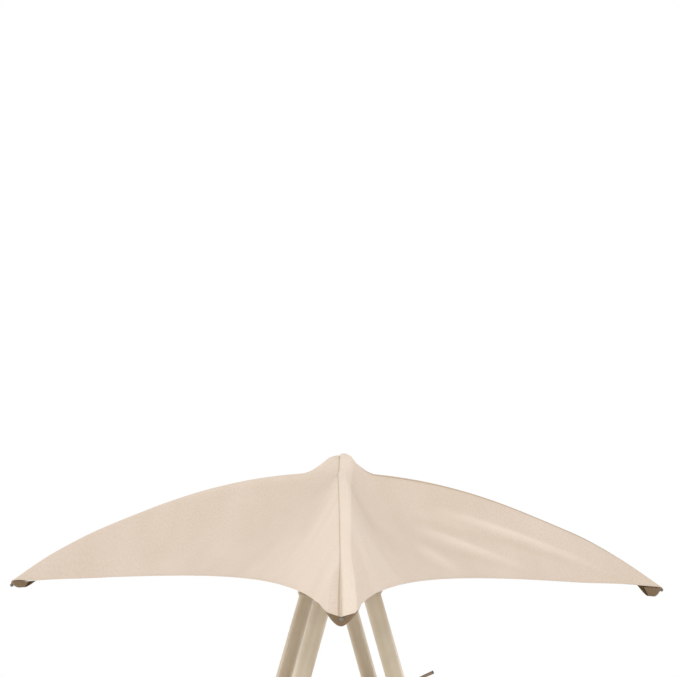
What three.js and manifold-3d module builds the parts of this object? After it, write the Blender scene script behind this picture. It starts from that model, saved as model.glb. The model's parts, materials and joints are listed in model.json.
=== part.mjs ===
// Sun lounger under a four-cornered canopy, carried by two tube A-frames.
// Millimetres, +Z up, +X to the head end. The floor is at zero height.
import * as THREE from "three";
import { mergeVertices } from "three/addons/utils/BufferGeometryUtils.js";
import Module from "manifold-3d";

const wasm = await Module();
wasm.setup();

// Clearances between neighbouring pieces, and how far a cutter runs past what it cuts
const gap = 0.3;
const turningGap = 0.5;
const overrun = 4;

// Driving sizes of the whole
const standHalfSpacing = 400;
const legSlopeShare = 0.287;
const legMeetingHeight = 1518;
const seatRailTop = 400;
const footEnd = -1385;
const headEnd = 560;
const canopyPlane = 1235;
const canopyReach = 1403;
const canopyRise = 486;
const canopyTurn = THREE.MathUtils.degToRad(-6);
const mastTilt = THREE.MathUtils.degToRad(4.6);
const backrestRaise = THREE.MathUtils.degToRad(26);

// A-frame legs, their rubber boots and the cast crowns that join them in pairs
const legRadius = 36;
const legWall = 1.5;
const bootWall = 4;
const bootFloor = 6;
const bootHeight = 60;
const crownBottom = 1190;
const crownHeight = 65;
const crownThickness = 84;
const crownMargin = 8;
const crownChamfer = 6;
const crownWall = 6;
const spigotLength = 70;
const beamRadius = 25;
const beamWall = 2;
const beamHeight = crownBottom + crownHeight / 2;

// Bracket on the cross beam, and the tilting mast that it holds
const bracketWidth = 76;
const bracketLength = 80;
const bracketWall = 10;
const pivotRise = 62.5;
const pivotHeight = beamHeight + pivotRise;
const cheekThickness = 8;
const cheekRadius = 24;
const tongueThickness = 34;
const tongueRadius = 20;
const tongueHeight = 34;
const footCollarRadius = 26;
const footCollarHeight = 8;
const footSpigotLength = 60;
const mastRadius = 20;
const mastWall = 2.5;
const pinRadius = 6;
const pinHeadRadius = 10;
const pinHeadThickness = 7;
const knobRadius = 19;
const knobThickness = 18;
const knobLobes = 5;
const knobLobeShare = 0.16;
const pointsPerLobe = 8;

// Hub on top of the mast, with its plastic bush and the cap that lifts the cloth
const bushWall = 2.7;
const bushLength = 62;
const bushTop = 3;
const hubWall = 8;
const hubTop = 6;
const hubArmRadius = 13;
const hubArmReach = 95;
const ribStart = 46;
const capRadius = 52;
const capNeckRadius = 30;
const capNeckHeight = 10;
const capCrown = 14;

// Canopy cloth, its ribs and the pockets under its corners
const clothThickness = 4;
const seamGap = gap;
const ribRadius = 7;
const ribWall = 1.5;
const ribDepth = 13.6;
const ridgeHalfWidth = 10;
const ridgeDrop = 3;
const edgeBow = 384;
const edgeRise = 54;
const edgeBowPower = 1.3;
const outBowPower = 1.5;
const shoulderShare = 1 / 3;
const bellyPower = 0.9;
const bellyPowerGrowth = 0.4;
const valleyPower = 1.2;
const peakPower = 1.4;
const peakRise = 75;
const peakReach = 150;
const tipRadius = 8;
const tipLength = 9;
const tipStem = 10;
const tipStemShare = 0.8;
const pocketShare = 0.055;
const pocketHang = 36;
const pocketTipHang = 22;
const pocketThickness = 2.5;
const pocketRoundPower = 4;

// Lounger frame: a bent flat tube on collars round the legs, and its foot-end support
const railHeight = 50;
const railWidth = 25;
const railCorner = 8;
const railWall = 2;
const padReach = 60;
const railSpacing = standHalfSpacing - padReach;
const railBend = 90;
const plugFlange = 5;
const plugStem = 25;
const collarWall = 7;
const collarHeight = 46;
const padLength = 60;
const padDepth = 14;
const supportRadius = 14;
const supportWall = 2;
const supportPlace = -1240;
const supportBend = 60;
const supportLift = 6;
const glideLength = 50;
const glideWidth = 36;
const glideHeight = 20;
const glideInset = 130;
const glidePlace = railSpacing - glideInset;
const crossbarRadius = 12;
const crossbarPlace = 500;
const crossbarDrop = 2;

// Slats and backrest
const slatWidth = 60;
const slatThickness = 12;
const slatCorner = 4;
const slatWall = 1.5;
const seatSlats = 4;
const seatSlatFirst = -1290;
const seatSlatLast = -500;
const backLength = 1025;
const backRailHeight = 30;
const backRailWidth = 15;
const backRailCorner = 5;
const backRailWall = 1.5;
const ratchetRoom = 8;
const backRailSpacing = railSpacing - railWidth / 2 - ratchetRoom - backRailWidth / 2;
const hingePlace = -434;
const hingeTubeRadius = 12;
const hingePinRadius = 6;
const ratchetRadius = 24;
const backSlats = 3;
const backSlatFirst = 120;
const backSlatEndRoom = 210;
const backSlatLast = backLength - backSlatEndRoom;

// Mattress sections
const cushionThickness = 58;
const cushionInset = 35;
const cushionWidth = 2 * (railSpacing - cushionInset);
const cushionSeam = 10;
const cushionCrown = 6;
const cushionGroove = 9;
const cushionDraw = 5;
const cushionHingeGap = 38;
const cushionFootGap = 16;
const cushionEdgePower = 6;
const backCushionEndRoom = 170;
const backCushionEnd = backLength - backCushionEndRoom;
const seatChannels = 6;
const backChannels = 5;

// Colours and finishes
const sand = { color: 0xcbbda4, roughness: 0.42, metalness: 0.35 };
const brown = { color: 0x7a6455, roughness: 0.45, metalness: 0.3 };
const cloth = { color: 0xe6d6c4, roughness: 0.95, metalness: 0 };
const padding = { color: 0xded0ba, roughness: 0.95, metalness: 0 };
const black = { color: 0x3a3a3a, roughness: 0.7, metalness: 0 };
const grey = { color: 0x6b6b69, roughness: 0.6, metalness: 0 };
const steel = { color: 0xb8b8b4, roughness: 0.3, metalness: 0.9 };

const quarter = Math.PI / 2;
const round = 24;
const arc = round / 4;

// Solids: booleans on closed three.js geometry
function bare(geometry) {
  const copy = geometry.clone();
  copy.deleteAttribute("normal");
  copy.deleteAttribute("uv");
  return mergeVertices(copy, 1e-4);
}

function solid(geometry) {
  const merged = bare(geometry);
  const vertProperties = new Float32Array(merged.attributes.position.array);
  const triVerts = new Uint32Array(merged.index.array);
  return new wasm.Manifold(new wasm.Mesh({ numProp: 3, vertProperties, triVerts }));
}

function shape(manifold) {
  const mesh = manifold.getMesh();
  const geometry = new THREE.BufferGeometry();
  geometry.setAttribute("position", new THREE.BufferAttribute(mesh.vertProperties, mesh.numProp));
  geometry.setIndex(new THREE.BufferAttribute(mesh.triVerts, 1));
  geometry.computeVertexNormals();
  return geometry;
}

function joined(first, ...others) {
  return shape(others.reduce((whole, next) => whole.add(solid(next)), solid(first)));
}

function cutBy(first, ...cutters) {
  return shape(cutters.reduce((whole, next) => whole.subtract(solid(next)), solid(first)));
}

function place(parent, name, geometry, finish, position = [0, 0, 0]) {
  const mesh = new THREE.Mesh(geometry, new THREE.MeshStandardMaterial(finish));
  mesh.name = name;
  mesh.position.set(...position);
  parent.add(mesh);
  return mesh;
}

// Plain shapes
function disc(radius, stretch = 1) {
  return new THREE.Shape().absellipse(0, 0, radius * stretch, radius, 0, 2 * Math.PI);
}

function ring(radius, inner, stretch = 1) {
  const outline = disc(radius, stretch);
  outline.holes.push(disc(inner, stretch));
  return outline;
}

function rounded(width, height, corner) {
  const [x, y] = [width / 2 - corner, height / 2 - corner];
  const outline = new THREE.Shape();
  outline.absarc(x, y, corner, 0, quarter);
  outline.absarc(-x, y, corner, quarter, 2 * quarter);
  outline.absarc(-x, -y, corner, 2 * quarter, 3 * quarter);
  outline.absarc(x, -y, corner, 3 * quarter, 4 * quarter);
  return outline;
}

function roundedTube(width, height, corner, wall) {
  const outline = rounded(width, height, corner);
  outline.holes.push(rounded(width - 2 * wall, height - 2 * wall, corner - wall));
  return outline;
}

function prism(outline, depth, segments = 1) {
  return new THREE.ExtrudeGeometry(outline, { depth, bevelEnabled: false, curveSegments: segments });
}

// A round bar lying along an axis, from one place on it to another
function bar(axis, radius, from, to) {
  const geometry = new THREE.CylinderGeometry(radius, radius, to - from, round);
  geometry.translate(0, (to + from) / 2, 0);
  if (axis === "x") geometry.rotateZ(-quarter);
  if (axis === "z") geometry.rotateX(quarter);
  return geometry;
}

function block(x, y, z, at = [0, 0, 0]) {
  return new THREE.BoxGeometry(x, y, z).translate(...at);
}

// A path that is sampled only at its own stops, so straight runs stay one step long
class StopPath extends THREE.Curve {
  constructor(stops) {
    super();
    this.stops = stops;
  }

  at(share) {
    return this.stops[Math.round(share * (this.stops.length - 1))];
  }

  getPointAt(share) {
    return this.at(share).point.clone();
  }

  getTangentAt(share) {
    return this.at(share).heading.clone();
  }
}

function swept(section, stops, segments) {
  const options = { extrudePath: new StopPath(stops), steps: stops.length - 1, curveSegments: segments };
  return new THREE.ExtrudeGeometry(section, options);
}

// Stops of a U that runs out along the first axis, round two bends and back
function bentU(openEnd, closedEnd, halfSpacing, bend, upright) {
  const stops = [];
  const turnSteps = 6;
  const along = Math.sign(closedEnd - openEnd);
  const put = (run, side, heading) => {
    const [x, y] = heading;
    const point = upright ? new THREE.Vector3(0, side, run) : new THREE.Vector3(run, side, 0);
    const facing = upright ? new THREE.Vector3(0, y, x) : new THREE.Vector3(x, y, 0);
    stops.push({ point, heading: facing });
  };
  put(openEnd, -halfSpacing, [along, 0]);
  for (const half of [-1, 1]) {
    for (let step = 0; step <= turnSteps; step++) {
      const turn = quarter * (half < 0 ? step / turnSteps : 1 - step / turnSteps);
      const run = closedEnd - along * bend * (1 - Math.sin(turn));
      const side = half * (halfSpacing - bend * (1 - Math.cos(turn)));
      put(run, side, [-half * along * Math.cos(turn), Math.sin(turn)]);
    }
  }
  put(openEnd, halfSpacing, [-along, 0]);
  return stops;
}

// Pieces that lean with a leg keep level ends, so they are sheared rather than turned
const legStretch = Math.hypot(1, legSlopeShare);
const legInner = legRadius - legWall;

function legPlace(height, side) {
  return side * legSlopeShare * (legMeetingHeight - height);
}

function leaning(geometry, side) {
  return geometry.applyMatrix4(new THREE.Matrix4().makeShear(0, 0, 0, 0, -side * legSlopeShare, 0));
}

function leaningTube(outer, inner, height, side) {
  return leaning(prism(ring(outer, inner, legStretch), height, 2 * arc), side);
}

function leaningBar(radius, height, side) {
  return leaning(prism(disc(radius, legStretch), height, 2 * arc), side);
}

function crown(facing) {
  const low = legPlace(crownBottom, 1) + legRadius * legStretch + crownMargin;
  const high = legPlace(crownBottom + crownHeight, 1) + legRadius * legStretch + crownMargin;
  const [inset, rise] = [crownChamfer, crownHeight - crownChamfer];
  const outline = new THREE.Shape();
  outline.moveTo(-low + inset, inset).lineTo(low - inset, inset);
  outline.lineTo(high - inset, rise).lineTo(-high + inset, rise);
  const body = new THREE.ExtrudeGeometry(outline, {
    depth: crownThickness - 2 * crownChamfer,
    bevelSize: crownChamfer,
    bevelThickness: crownChamfer,
    bevelSegments: 2,
  });
  body.translate(0, 0, crownChamfer - crownThickness / 2).rotateX(quarter).translate(0, 0, crownBottom);
  const upright = (radius, from, to) => [-1, 1].map((side) => {
    return leaningBar(radius, to - from, side).translate(legPlace(from, side), 0, from);
  });
  const level = (radius, from, to) => {
    const piece = bar("y", radius, from, to).translate(0, 0, beamHeight);
    return facing < 0 ? piece.rotateZ(2 * quarter) : piece;
  };
  const [spigotEnd, ceiling] = [crownBottom - spigotLength, crownBottom + crownHeight - crownWall];
  const [face, beamEnd] = [crownThickness / 2, crownThickness / 2 + spigotLength];
  const [legSpigot, beamSpigot] = [legInner - gap, beamRadius - beamWall - gap];
  const bores = upright(legSpigot - crownWall, spigotEnd - overrun, ceiling);
  const beamBore = level(beamSpigot - crownWall, face, beamEnd + overrun);
  const wellHalf = legPlace(ceiling, 1) - (legSpigot - crownWall) * legStretch - crownWall;
  const wellHeight = ceiling - crownBottom + overrun;
  const wellMiddle = [0, 0, ceiling - wellHeight / 2];
  const well = block(2 * wellHalf, crownThickness - 2 * crownWall, wellHeight, wellMiddle);
  const spigots = upright(legSpigot, spigotEnd, crownBottom + overrun);
  const whole = joined(body, ...spigots, level(beamSpigot, face - overrun, beamEnd));
  return cutBy(whole, ...bores, beamBore, well);
}

function boot(side) {
  const [outer, inner] = [legRadius + bootWall, legRadius + gap];
  const cup = leaningBar(outer, bootHeight, side);
  const mouth = leaningBar(inner, bootHeight, side);
  return cutBy(cup, mouth.translate(-side * legSlopeShare * bootFloor, 0, bootFloor));
}

function collar(side, inward) {
  const bottom = seatRailTop - railHeight / 2 - collarHeight / 2;
  const shell = leaningBar(legRadius + collarWall, collarHeight, side);
  shell.translate(legPlace(bottom, side), 0, bottom);
  const face = standHalfSpacing - railSpacing - railWidth / 2 - gap;
  const height = bottom + collarHeight / 2;
  const middle = [legPlace(height, side), inward * (face - padDepth / 2), height];
  const bore = leaningBar(legRadius + gap, collarHeight + 2 * overrun, side);
  bore.translate(legPlace(bottom - overrun, side), 0, bottom - overrun);
  return shape(solid(joined(shell, block(padLength, padDepth, collarHeight, middle))).subtract(solid(bore)));
}

function buildStand(parent) {
  const ends = { foot: -1, head: 1 };
  const sides = { left: -1, right: 1 };
  const legBottom = bootFloor + gap;
  for (const [sideName, across] of Object.entries(sides)) {
    const y = across * standHalfSpacing;
    for (const [endName, side] of Object.entries(ends)) {
      const name = `${sideName}_${endName}`;
      const tube = leaningTube(legRadius, legInner, crownBottom - gap - legBottom, side);
      place(parent, `leg_${name}`, tube, sand, [legPlace(legBottom, side), y, legBottom]);
      place(parent, `leg_boot_${name}`, boot(side), black, [legPlace(0, side), y, 0]);
      place(parent, `rail_collar_${name}`, collar(side, -across), sand, [0, y, 0]);
    }
    place(parent, `crown_${sideName}`, crown(-across), sand, [0, y, 0]);
  }
  const beamHalf = standHalfSpacing - crownThickness / 2 - gap;
  const beam = prism(ring(beamRadius, beamRadius - beamWall), 2 * beamHalf, 2 * arc).rotateX(quarter);
  place(parent, "cross_beam", beam, sand, [0, beamHalf, beamHeight]);
}

// Bracket, pin and knob hold the mast's foot; the mast tilts about the pin
function mastBracket() {
  const half = beamRadius + bracketWall;
  const cheekPlace = tongueThickness / 2 + turningGap + cheekThickness / 2;
  const body = block(bracketWidth, bracketLength, 2 * half);
  const cheeks = [-1, 1].map((side) => {
    const outline = new THREE.Shape();
    outline.moveTo(-cheekRadius, beamRadius).lineTo(cheekRadius, beamRadius);
    outline.lineTo(cheekRadius, pivotRise);
    outline.absarc(0, pivotRise, cheekRadius, 0, 2 * quarter);
    const cheek = prism(outline, cheekThickness, arc).translate(0, 0, -cheekThickness / 2);
    return cheek.rotateX(quarter).rotateZ(quarter).translate(side * cheekPlace, 0, 0);
  });
  const bore = bar("y", beamRadius + gap, -bracketLength, bracketLength);
  const reach = cheekPlace + cheekThickness;
  const pinHole = bar("x", pinRadius + gap, -reach, reach).translate(0, 0, pivotRise);
  return cutBy(joined(body, ...cheeks), bore, pinHole);
}

function mastFoot() {
  const tongue = block(tongueThickness, 2 * tongueRadius, tongueHeight, [0, 0, tongueHeight / 2]);
  const end = bar("x", tongueRadius, -tongueThickness / 2, tongueThickness / 2);
  const collarTop = tongueHeight + footCollarHeight;
  const disk = bar("z", footCollarRadius, tongueHeight - overrun, collarTop);
  const spigot = bar("z", mastRadius - mastWall - gap, collarTop - overrun, collarTop + footSpigotLength);
  const pinHole = bar("x", pinRadius + gap, -tongueThickness, tongueThickness);
  return cutBy(joined(tongue, end, disk, spigot), pinHole);
}

function knob() {
  const outline = new THREE.Shape();
  const points = knobLobes * pointsPerLobe;
  for (let step = 0; step < points; step++) {
    const turn = (2 * Math.PI * step) / points;
    const radius = knobRadius * (1 - knobLobeShare + knobLobeShare * Math.cos(knobLobes * turn));
    const [x, y] = [radius * Math.cos(turn), radius * Math.sin(turn)];
    if (step === 0) outline.moveTo(x, y);
    else outline.lineTo(x, y);
  }
  outline.holes.push(disc(pinRadius + gap));
  return prism(outline, knobThickness, arc).rotateY(-quarter);
}

function buildMast(root, mast) {
  const outerFace = tongueThickness / 2 + turningGap + cheekThickness;
  place(root, "mast_bracket", mastBracket(), sand, [0, 0, beamHeight]);
  const pinEnd = outerFace + gap + knobThickness;
  const shank = bar("x", pinRadius, -pinEnd, outerFace + gap + overrun);
  const head = bar("x", pinHeadRadius, outerFace + gap, outerFace + gap + pinHeadThickness);
  place(root, "tilt_pin", joined(shank, head), steel, [0, 0, pivotHeight]);
  place(root, "tilt_knob", knob(), black, [-outerFace - gap, 0, pivotHeight]);
  place(mast, "mast_foot", mastFoot(), sand);
  const mastBottom = tongueHeight + footCollarHeight + gap;
  const mastTop = ribStops()[0].point.z + canopyPlane - pivotHeight;
  const tube = prism(ring(mastRadius, mastRadius - mastWall), mastTop - mastBottom, 2 * arc);
  place(mast, "mast_tube", tube, sand, [0, 0, mastBottom]);
  place(mast, "swivel_bush", bush(), black, [0, 0, mastTop]);
}

// Canopy: heights are above the plane of its four corners
const edgeMiddle = (canopyReach + ridgeHalfWidth) / Math.SQRT2 - edgeBow;

function peak(radius) {
  const away = THREE.MathUtils.clamp((radius - capRadius) / (peakReach - capRadius), 0, 1);
  const dome = 1 - (capCrown / peakRise) * Math.min(radius / capRadius, 1) ** 2;
  return peakRise * dome * (1 - away) ** peakPower;
}

function ridgeHeight(radius) {
  return canopyRise * (1 - (radius / canopyReach) ** 2);
}

function valleyHeight(radius) {
  const away = THREE.MathUtils.clamp((radius - capRadius) / (edgeMiddle - capRadius), 0, 1);
  return edgeRise + (canopyRise - edgeRise) * (1 - away) ** valleyPower;
}

// A point between two neighbouring ribs: out says how far from the hub, across from rib to rib
function panelPoint(out, across) {
  const radius = out * canopyReach;
  const shoulder = Math.min(ridgeHalfWidth, radius * shoulderShare);
  const belly = 4 * across * (1 - across);
  const edgePull = edgeBow * out ** outBowPower;
  const bow = (edgePull * belly ** edgeBowPower) / Math.SQRT2;
  const x = radius + (shoulder - radius) * across - bow;
  const y = shoulder + (radius - shoulder) * across - bow;
  const middle = (radius + shoulder) / Math.SQRT2 - edgePull;
  const ridge = ridgeHeight(radius) - (ridgeDrop * shoulder) / ridgeHalfWidth;
  const drop = (ridge - valleyHeight(middle)) * belly ** (bellyPower + bellyPowerGrowth * out);
  return new THREE.Vector3(x, y, ridge - drop + peak(Math.hypot(x, y)));
}

function ridgePoint(out) {
  const radius = out * canopyReach;
  return new THREE.Vector3(radius, 0, ridgeHeight(radius) + peak(radius));
}

// A closed sheet from an upper and a lower grid of points
function sheet(rows, columns, upper, lower) {
  const points = [];
  const faces = [];
  const put = (a, b, c) => faces.push(a, b, c);
  const quad = (a, b, c, d) => {
    put(a, b, c);
    put(a, c, d);
  };
  const width = columns + 1;
  for (const surface of [upper, lower]) {
    for (let row = 0; row <= rows; row++) {
      for (let column = 0; column < width; column++) points.push(surface(row, column));
    }
  }
  const top = (row, column) => row * width + column;
  const under = (row, column) => (rows + 1) * width + top(row, column);
  for (let column = 0; column < columns; column++) {
    for (let row = 0; row < rows; row++) {
      quad(top(row, column), top(row + 1, column), top(row + 1, column + 1), top(row, column + 1));
      quad(under(row, column), under(row, column + 1), under(row + 1, column + 1), under(row + 1, column));
    }
    quad(top(rows, column), under(rows, column), under(rows, column + 1), top(rows, column + 1));
    quad(top(0, column), top(0, column + 1), under(0, column + 1), under(0, column));
  }
  for (let row = 0; row < rows; row++) {
    quad(top(row, 0), under(row, 0), under(row + 1, 0), top(row + 1, 0));
    quad(top(row, columns), top(row + 1, columns), under(row + 1, columns), under(row, columns));
  }
  return welded(points, faces);
}

function welded(points, faces) {
  const geometry = new THREE.BufferGeometry().setFromPoints(points);
  geometry.setIndex(faces);
  const merged = mergeVertices(geometry, 1e-4);
  const kept = [];
  const corners = merged.index.array;
  for (let at = 0; at < corners.length; at += 3) {
    const [a, b, c] = corners.slice(at, at + 3);
    if (a !== b && b !== c && c !== a) kept.push(a, b, c);
  }
  merged.setIndex(kept);
  merged.computeVertexNormals();
  return merged;
}

// One of the cloth's four panels, from rib to rib; its neighbours meet it along the ridge seams
function canopyPanel() {
  const outShares = [0, 0.015, 0.037, 0.06, 0.083, 0.11, 0.2, 0.32, 0.46, 0.6, 0.74, 0.87, 1];
  const panelSteps = 10;
  const columns = panelSteps + 2;
  const point = (row, column, depth) => {
    const out = outShares[row];
    const across = (1 - Math.cos((Math.PI * (column - 1)) / panelSteps)) / 2;
    const local = column % columns === 0 ? ridgePoint(out) : panelPoint(out, across);
    if (column === columns) local.set(local.y, local.x, local.z);
    return local.add(new THREE.Vector3(seamGap / 2, seamGap / 2, -depth));
  };
  const upper = (row, column) => point(row, column, 0);
  const lower = (row, column) => point(row, column, clothThickness);
  return sheet(outShares.length - 1, columns, upper, lower);
}

function cornerPocket() {
  const rows = 5;
  const columns = 8;
  const point = (row, column, lift) => {
    const share = (pocketShare * row) / rows;
    const edge = panelPoint(1, share);
    const side = (2 * column) / columns - 1;
    const hang = pocketTipHang + ((pocketHang - pocketTipHang) * row) / rows;
    const rim = edge.z - clothThickness - gap - pocketThickness;
    return new THREE.Vector3(edge.x, side * edge.y, rim - hang * (1 - side ** pocketRoundPower) + lift);
  };
  const upper = (row, column) => point(row, columns - column, pocketThickness);
  const lower = (row, column) => point(row, columns - column, 0);
  return sheet(rows, columns, upper, lower);
}

// The rib's centre line runs a fixed depth under the ridge of the cloth
function ribStop(radius) {
  const steepness = (2 * canopyRise * radius) / canopyReach ** 2;
  const normal = new THREE.Vector3(steepness, 0, 1).normalize();
  const point = new THREE.Vector3(radius, 0, ridgeHeight(radius)).addScaledVector(normal, -ribDepth);
  return { point, heading: new THREE.Vector3(1, 0, -steepness).normalize() };
}

function ribStops() {
  const bends = 12;
  const first = ribStop(hubArmReach);
  const straight = new THREE.Vector3(ribStart, 0, first.point.z);
  const stops = [{ point: straight, heading: new THREE.Vector3(1, 0, 0) }];
  for (let step = 0; step <= bends; step++) {
    stops.push(ribStop(hubArmReach + ((canopyReach - hubArmReach) * step) / bends));
  }
  return stops;
}

function ribTip() {
  const stem = bar("x", (ribRadius - ribWall) * tipStemShare, -tipStem, overrun);
  const dome = new THREE.SphereGeometry(tipRadius, 12, 8);
  dome.applyMatrix4(new THREE.Matrix4().makeScale(tipLength / tipRadius, 1, 1));
  const half = block(2 * tipLength, 4 * tipRadius, 4 * tipRadius, [-tipLength, 0, 0]);
  return joined(cutBy(dome, half), stem);
}

function hub(height) {
  const bore = mastRadius + gap + bushWall + turningGap;
  const outer = bore + hubWall;
  const bottom = height - bushLength / 2;
  const top = height + hubArmRadius + hubTop;
  const body = bar("z", outer, bottom, top);
  const arms = ["x", "y"].map((axis) => {
    return bar(axis, hubArmRadius, -hubArmReach, hubArmReach).translate(0, 0, height);
  });
  const sockets = [0, 1, 2, 3].map((rib) => {
    const socket = bar("x", ribRadius + turningGap, ribStart - gap, hubArmReach + overrun);
    return socket.translate(0, 0, height).rotateZ(rib * quarter);
  });
  const well = bar("z", bore, bottom - overrun, height + bushTop + 2 * gap);
  return cutBy(joined(body, ...arms), well, ...sockets);
}

function bush() {
  const outer = mastRadius + gap + bushWall;
  const sleeve = bar("z", outer, -bushLength / 2, bushTop + gap);
  return cutBy(sleeve, bar("z", mastRadius + gap, -bushLength, gap));
}

function hubCap(height) {
  const rim = height - 2 * capCrown;
  const outline = [
    [0, 0],
    [capNeckRadius, 0],
    [capNeckRadius, capNeckHeight],
    [capRadius - overrun, rim - overrun],
    [capRadius - overrun, rim],
    [capRadius / 2, height - capCrown / 2],
    [0, height],
  ];
  const profile = outline.map(([x, y]) => new THREE.Vector2(x, y));
  return new THREE.LatheGeometry(profile, round).rotateX(quarter);
}

function buildCanopy(canopy) {
  const armHeight = ribStops()[0].point.z;
  place(canopy, "canopy_hub", hub(armHeight), sand);
  const capBottom = armHeight + hubArmRadius + hubTop + gap;
  const capTop = canopyRise + peakRise - clothThickness - gap;
  place(canopy, "hub_cap", hubCap(capTop - capBottom), grey, [0, 0, capBottom]);
  const corners = ["head", "right", "foot", "left"];
  corners.forEach((corner, index) => {
    const arm = new THREE.Group();
    arm.rotation.z = index * quarter;
    canopy.add(arm);
    const stops = ribStops();
    const last = stops[stops.length - 1];
    place(arm, `canopy_rib_${corner}`, swept(ring(ribRadius, ribRadius - ribWall), stops, 4), steel);
    const tip = place(arm, `rib_tip_${corner}`, ribTip(), grey);
    tip.position.copy(last.point).addScaledVector(last.heading, gap);
    tip.rotation.y = Math.atan2(-last.heading.z, last.heading.x);
    place(arm, `corner_pocket_${corner}`, cornerPocket(), cloth);
    place(arm, `canopy_panel_${corner}_${corners[(index + 1) % corners.length]}`, canopyPanel(), cloth);
  });
}

// Lounger base
function plug(width, height, corner, wall) {
  const flange = prism(rounded(width, height, corner), plugFlange);
  const [w, h] = [width - 2 * wall - 2 * gap, height - 2 * wall - 2 * gap];
  const stem = prism(rounded(w, h, corner - wall), plugStem + overrun).translate(0, 0, -plugStem);
  return joined(flange, stem).rotateY(quarter);
}

function slat(length) {
  const board = prism(roundedTube(slatWidth, slatThickness, slatCorner, slatWall), length);
  return board.rotateX(quarter).translate(0, length / 2, 0);
}

function buildBase(parent) {
  const railMiddle = seatRailTop - railHeight / 2;
  const stops = bentU(headEnd, footEnd + railWidth / 2, railSpacing, railBend, false);
  const section = roundedTube(railHeight, railWidth, railCorner, railWall);
  place(parent, "base_frame", swept(section, stops, 1), brown, [0, 0, railMiddle]);
  for (const [name, across] of [["left", -1], ["right", 1]]) {
    const glide = cutBy(
      block(glideWidth, glideLength, glideHeight, [0, 0, glideHeight / 2]),
      bar("y", supportRadius + gap, -glideLength, glideLength).translate(0, 0, supportLift + supportRadius),
    );
    place(parent, `support_glide_${name}`, glide, black, [supportPlace, across * glidePlace, 0]);
  }
  const supportTop = seatRailTop - railHeight - gap;
  const legs = bentU(supportTop, supportLift + supportRadius, railSpacing, supportBend, true);
  const tube = ring(supportRadius, supportRadius - supportWall);
  place(parent, "foot_end_support", swept(tube, legs, 6), brown, [supportPlace, 0, 0]);
  const inside = railSpacing - railWidth / 2 - gap;
  const crossbarHeight = seatRailTop - backRailHeight - crossbarDrop - crossbarRadius;
  const crossbar = bar("y", crossbarRadius, -inside, inside);
  place(parent, "head_crossbar", crossbar, brown, [crossbarPlace, 0, crossbarHeight]);
  const slatLift = seatRailTop + gap + slatThickness / 2;
  for (let index = 0; index < seatSlats; index++) {
    const x = seatSlatFirst + ((seatSlatLast - seatSlatFirst) * index) / (seatSlats - 1);
    place(parent, `seat_slat_${index + 1}`, slat(2 * railSpacing + railWidth), brown, [x, 0, slatLift]);
  }
}

// Backrest: its own group, turned up about the hinge line
function buildBackrest(root, backrest) {
  const outerFace = backRailSpacing + backRailWidth / 2;
  const innerFace = backRailSpacing - backRailWidth / 2;
  const ratchetFaces = [outerFace + gap, railSpacing - railWidth / 2 - gap];
  for (const [name, across] of [["left", -1], ["right", 1]]) {
    const section = roundedTube(backRailHeight, backRailWidth, backRailCorner, backRailWall);
    const tail = backRailHeight / 2;
    const rail = prism(section, backLength + tail).translate(0, 0, -tail).rotateY(quarter);
    const hole = bar("y", hingePinRadius + gap, -backRailWidth, backRailWidth);
    place(backrest, `back_rail_${name}`, cutBy(rail, hole), brown, [0, across * backRailSpacing, 0]);
    const cap = plug(backRailHeight, backRailWidth, backRailCorner, backRailWall);
    place(backrest, `back_plug_${name}`, cap, grey, [backLength + gap, across * backRailSpacing, 0]);
    const [from, to] = ratchetFaces;
    const housing = cutBy(bar("y", ratchetRadius, from, to), bar("y", hingePinRadius + gap, 0, to + overrun));
    if (across < 0) housing.rotateZ(2 * quarter);
    const hingeHeight = seatRailTop - backRailHeight / 2;
    place(root, `ratchet_${name}`, housing, grey, [hingePlace, 0, hingeHeight]);
  }
  const tubeEnd = innerFace - gap;
  const pinEnd = ratchetFaces[1] - gap;
  const tube = bar("y", hingeTubeRadius, -tubeEnd, tubeEnd);
  const pin = bar("y", hingePinRadius, -pinEnd, pinEnd);
  place(backrest, "hinge_tube", joined(tube, pin), brown);
  const slatLift = backRailHeight / 2 + gap + slatThickness / 2;
  for (let index = 0; index < backSlats; index++) {
    const x = backSlatFirst + ((backSlatLast - backSlatFirst) * index) / (backSlats - 1);
    place(backrest, `back_slat_${index + 1}`, slat(2 * outerFace), brown, [x, 0, slatLift]);
  }
}

// A padded section with cross channels, lying with its underside at zero height
function cushion(length, channels) {
  const stepsPerChannel = 4;
  const rows = channels * stepsPerChannel;
  const columns = 8;
  const fullness = (share) => Math.sqrt(Math.max(0, 1 - share ** cushionEdgePower));
  const point = (row, column, side) => {
    const along = (2 * row) / rows - 1;
    const across = -Math.cos((Math.PI * column) / columns);
    const wave = Math.sin((Math.PI * row) / stepsPerChannel) ** 2;
    const full = Math.min(fullness(along), fullness(across));
    const half = (cushionThickness - cushionCrown - cushionSeam) / 2;
    const groove = cushionGroove * (1 - wave) * full;
    const crown = cushionCrown * (1 - along ** 2) * (1 - across ** 2);
    const up = cushionSeam / 2 + half * full + (side > 0 ? crown - groove : 0);
    const width = cushionWidth / 2 - cushionDraw * (1 - wave);
    const height = (cushionThickness - cushionCrown) / 2 + side * up;
    return new THREE.Vector3((along * length) / 2, across * width, height);
  };
  const upper = (row, column) => point(row, column, 1);
  const lower = (row, column) => point(row, column, -1);
  return sheet(rows, columns, upper, lower);
}

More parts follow.
